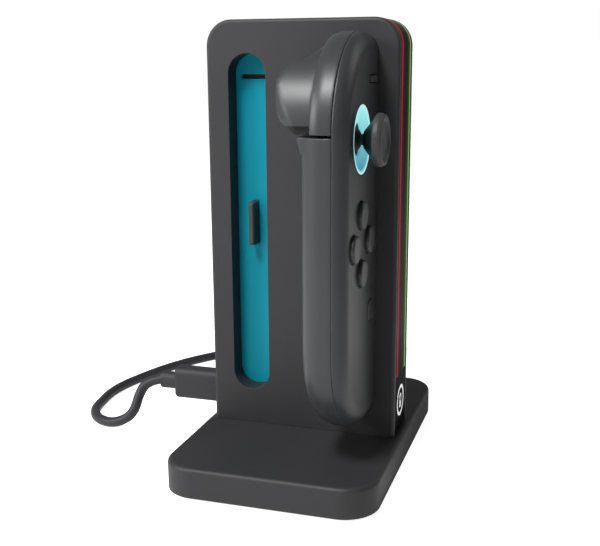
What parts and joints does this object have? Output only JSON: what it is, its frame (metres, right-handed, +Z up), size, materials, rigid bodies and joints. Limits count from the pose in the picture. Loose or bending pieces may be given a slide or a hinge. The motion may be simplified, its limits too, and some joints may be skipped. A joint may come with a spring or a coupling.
{
  "type": "controller charging stand with a docked controller",
  "caption": "Upright charging stand on a weighted base, with bays on both faces, glossy lit side band, USB cord, and a thumbstick controller docked by its rail.",
  "frame": {"origin": "centre of the base's underside, on the surface that the stand rests on", "axes": "+X to the right along the stand's front, +Y from front to back, +Z up"},
  "size_m": [0.119, 0.1604, 0.1353],
  "materials": {
    "stand_plastic": "fine matt, anthracite",
    "band_gloss": "polished black",
    "bay_blue": "satin blue-green",
    "pad_plastic": "soft matt dark grey",
    "pad_rail_blue": "satin light blue",
    "ring_blue": "lit light blue",
    "red_light": "lit red light guide",
    "green_light": "lit green light guide",
    "white_ink": "white inlay",
    "steel": "plain",
    "shell_metal": "nickel plated",
    "gold": "gold plated contacts",
    "board_green": "solder mask",
    "chip_black": "moulded",
    "black_rubber": "matt",
    "cable_jacket": "smooth jacket",
    "plug_plastic": "matt moulding",
    "stick_black": "matt black",
    "cap_rubber": "matt dark grey",
    "battery_wrap": "foil wrap",
    "lamp_white": "clear lamp"
  },
  "bodies": {
    "dock": {"base_cover": "stand_plastic", "base_plate": "stand_plastic", "base_screws": "steel", "rubber_feet": "black_rubber", "ballast_plate": "steel", "front_panel": "stand_plastic", "rear_panel": "stand_plastic", "side_band": "band_gloss", "charge_mark": "white_ink", "tower_foot": "chip_black", "tower_screws": "steel", "main_board": "board_green", "board_parts": "chip_black", "status_leds": "lamp_white", "usb_port": "shell_metal", "light_line_charging": "red_light", "light_lines_charged": "green_light", "bay_floors": "bay_blue", "bay_tongues": "chip_black", "bay_contacts": "gold", "bay_magnets": "shell_metal", "usb_plug_shell": "shell_metal", "usb_plug_body": "plug_plastic", "cord_run": "cable_jacket", "cord_coil": "cable_jacket", "cord_tail": "cable_jacket", "cord_tie": "black_rubber", "far_plug_body": "plug_plastic", "far_plug_shell": "shell_metal"},
    "controller": {"pad_rear_shell": "pad_plastic", "pad_front_shell": "pad_plastic", "pad_screws": "steel", "pad_rail": "pad_rail_blue", "pad_rail_socket": "chip_black", "pad_board": "board_green", "pad_battery": "battery_wrap", "rumble_motor": "steel", "keeper_plates": "steel", "player_lights": "lamp_white", "button_mat": "black_rubber", "stick_ring": "ring_blue", "stick_housing": "steel", "hinge_pins": "steel"},
    "direction_up": {"direction_button_up": "pad_plastic"},
    "direction_right": {"direction_button_right": "pad_plastic"},
    "direction_down": {"direction_button_down": "pad_plastic"},
    "direction_left": {"direction_button_left": "pad_plastic"},
    "minus": {"minus_button": "pad_plastic"},
    "capture": {"capture_button": "pad_plastic"},
    "side_lower": {"side_button_lower": "stick_black"},
    "side_upper": {"side_button_upper": "stick_black"},
    "sync": {"sync_button": "stick_black"},
    "release": {"release_button": "pad_plastic"},
    "stick_press": {"stick_frame": "stick_black"},
    "stick_gimbal": {"stick_yoke": "stick_black"},
    "stick": {"stick_shaft": "stick_black", "stick_boot": "stick_black", "stick_cap": "cap_rubber"},
    "shoulder": {"shoulder_button": "pad_plastic"},
    "trigger": {"trigger": "pad_plastic"}
  },
  "joints": [
    {"name": "controller_pull_off", "type": "slide", "parent": "dock", "child": "controller", "axis": [0, -1, 0], "range_m": [0, 0.055]},
    {"name": "direction_up_press", "type": "slide", "parent": "controller", "child": "direction_up", "axis": [-1, 0, 0], "range_m": [0, 0.0007], "stiffness_N_per_m": 400, "springref_m": -0.0003},
    {"name": "direction_right_press", "type": "slide", "parent": "controller", "child": "direction_right", "axis": [-1, 0, 0], "range_m": [0, 0.0007], "stiffness_N_per_m": 400, "springref_m": -0.0003},
    {"name": "direction_down_press", "type": "slide", "parent": "controller", "child": "direction_down", "axis": [-1, 0, 0], "range_m": [0, 0.0007], "stiffness_N_per_m": 400, "springref_m": -0.0003},
    {"name": "direction_left_press", "type": "slide", "parent": "controller", "child": "direction_left", "axis": [-1, 0, 0], "range_m": [0, 0.0007], "stiffness_N_per_m": 400, "springref_m": -0.0003},
    {"name": "minus_press", "type": "slide", "parent": "controller", "child": "minus", "axis": [-1, 0, 0], "range_m": [0, 0.00035], "stiffness_N_per_m": 400, "springref_m": -0.0003},
    {"name": "capture_press", "type": "slide", "parent": "controller", "child": "capture", "axis": [-1, 0, 0], "range_m": [0, 0.0002], "stiffness_N_per_m": 400, "springref_m": -0.0003},
    {"name": "side_lower_press", "type": "slide", "parent": "controller", "child": "side_lower", "axis": [0, -1, 0], "range_m": [0, 0.0004], "stiffness_N_per_m": 400, "springref_m": -0.0003},
    {"name": "side_upper_press", "type": "slide", "parent": "controller", "child": "side_upper", "axis": [0, -1, 0], "range_m": [0, 0.0004], "stiffness_N_per_m": 400, "springref_m": -0.0003},
    {"name": "sync_press", "type": "slide", "parent": "controller", "child": "sync", "axis": [0, -1, 0], "range_m": [0, 0.0003], "stiffness_N_per_m": 400, "springref_m": -0.0003},
    {"name": "release_press", "type": "slide", "parent": "controller", "child": "release", "axis": [1, 0, 0], "range_m": [0, 0.0007], "stiffness_N_per_m": 400, "springref_m": -0.0003},
    {"name": "stick_click", "type": "slide", "parent": "controller", "child": "stick_press", "axis": [-1, 0, 0], "range_m": [0, 0.0004], "stiffness_N_per_m": 3000, "springref_m": -0.0005},
    {"name": "stick_sideways", "type": "hinge", "parent": "stick_press", "child": "stick_gimbal", "pos_m": [0.019, -0.0278, 0.1023], "axis": [0, 0, 1], "range_deg": [-17, 17], "stiffness_Nm_per_rad": 0.03},
    {"name": "stick_lengthways", "type": "hinge", "parent": "stick_gimbal", "child": "stick", "pos_m": [0.019, -0.0278, 0.1023], "axis": [0, 1, 0], "range_deg": [-17, 17], "stiffness_Nm_per_rad": 0.03},
    {"name": "shoulder_press", "type": "hinge", "parent": "controller", "child": "shoulder", "pos_m": [0.018, -0.021, 0.128], "axis": [1, 0, 0], "range_deg": [0, 1], "stiffness_Nm_per_rad": 0.6, "springref_deg": -0.57},
    {"name": "trigger_squeeze", "type": "hinge", "parent": "controller", "child": "trigger", "pos_m": [0.0132, -0.026, 0.1215], "axis": [0, -1, 0], "range_deg": [0, 5.5], "stiffness_Nm_per_rad": 0.3, "springref_deg": -2.29}
  ]
}
